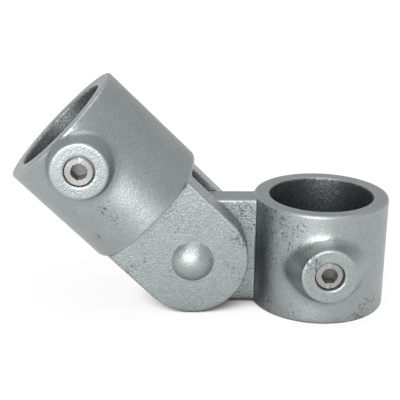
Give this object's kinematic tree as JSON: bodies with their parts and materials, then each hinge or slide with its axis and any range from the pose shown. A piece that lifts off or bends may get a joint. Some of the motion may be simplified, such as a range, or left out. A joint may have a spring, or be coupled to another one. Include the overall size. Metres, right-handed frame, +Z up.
{
  "type": "adjustable tube clamp",
  "caption": "Galvanised swivel clamp: an upright tube collar and a tilting tube socket joined by a riveted fork, each locked on its tube by a set screw.",
  "frame": {"origin": "centre of the collar's bore at half the collar's height, level with the pivot", "axes": "+Z up along the upright tube, -X towards the pivot and the socket, -Y towards the set screws"},
  "size_m": [0.1772, 0.0718, 0.1099],
  "materials": {
    "galvanised_casting": "hot-dip galvanised, satin with fine grain",
    "galvanised_rivet": "galvanised, satin",
    "plated_screw": "plated, satin"
  },
  "bodies": {
    "collar": {"collar_casting": "galvanised_casting"},
    "socket": {"socket_casting": "galvanised_casting", "pivot_rivet": "galvanised_rivet"},
    "collar_screw": {"collar_set_screw": "plated_screw"},
    "socket_screw": {"socket_set_screw": "plated_screw"}
  },
  "joints": [
    {"name": "socket_swivel", "type": "hinge", "parent": "collar", "child": "socket", "pos_m": [-0.0615, 0, 0], "axis": [0, 1, 0], "range_deg": [-134.6, 45.4]},
    {"name": "collar_screw_travel", "type": "slide", "parent": "collar", "child": "collar_screw", "axis": [0, 1, 0], "range_m": [-0.004, 0.004]},
    {"name": "socket_screw_travel", "type": "slide", "parent": "socket", "child": "socket_screw", "axis": [0, 1, 0], "range_m": [-0.004, 0.004]}
  ]
}
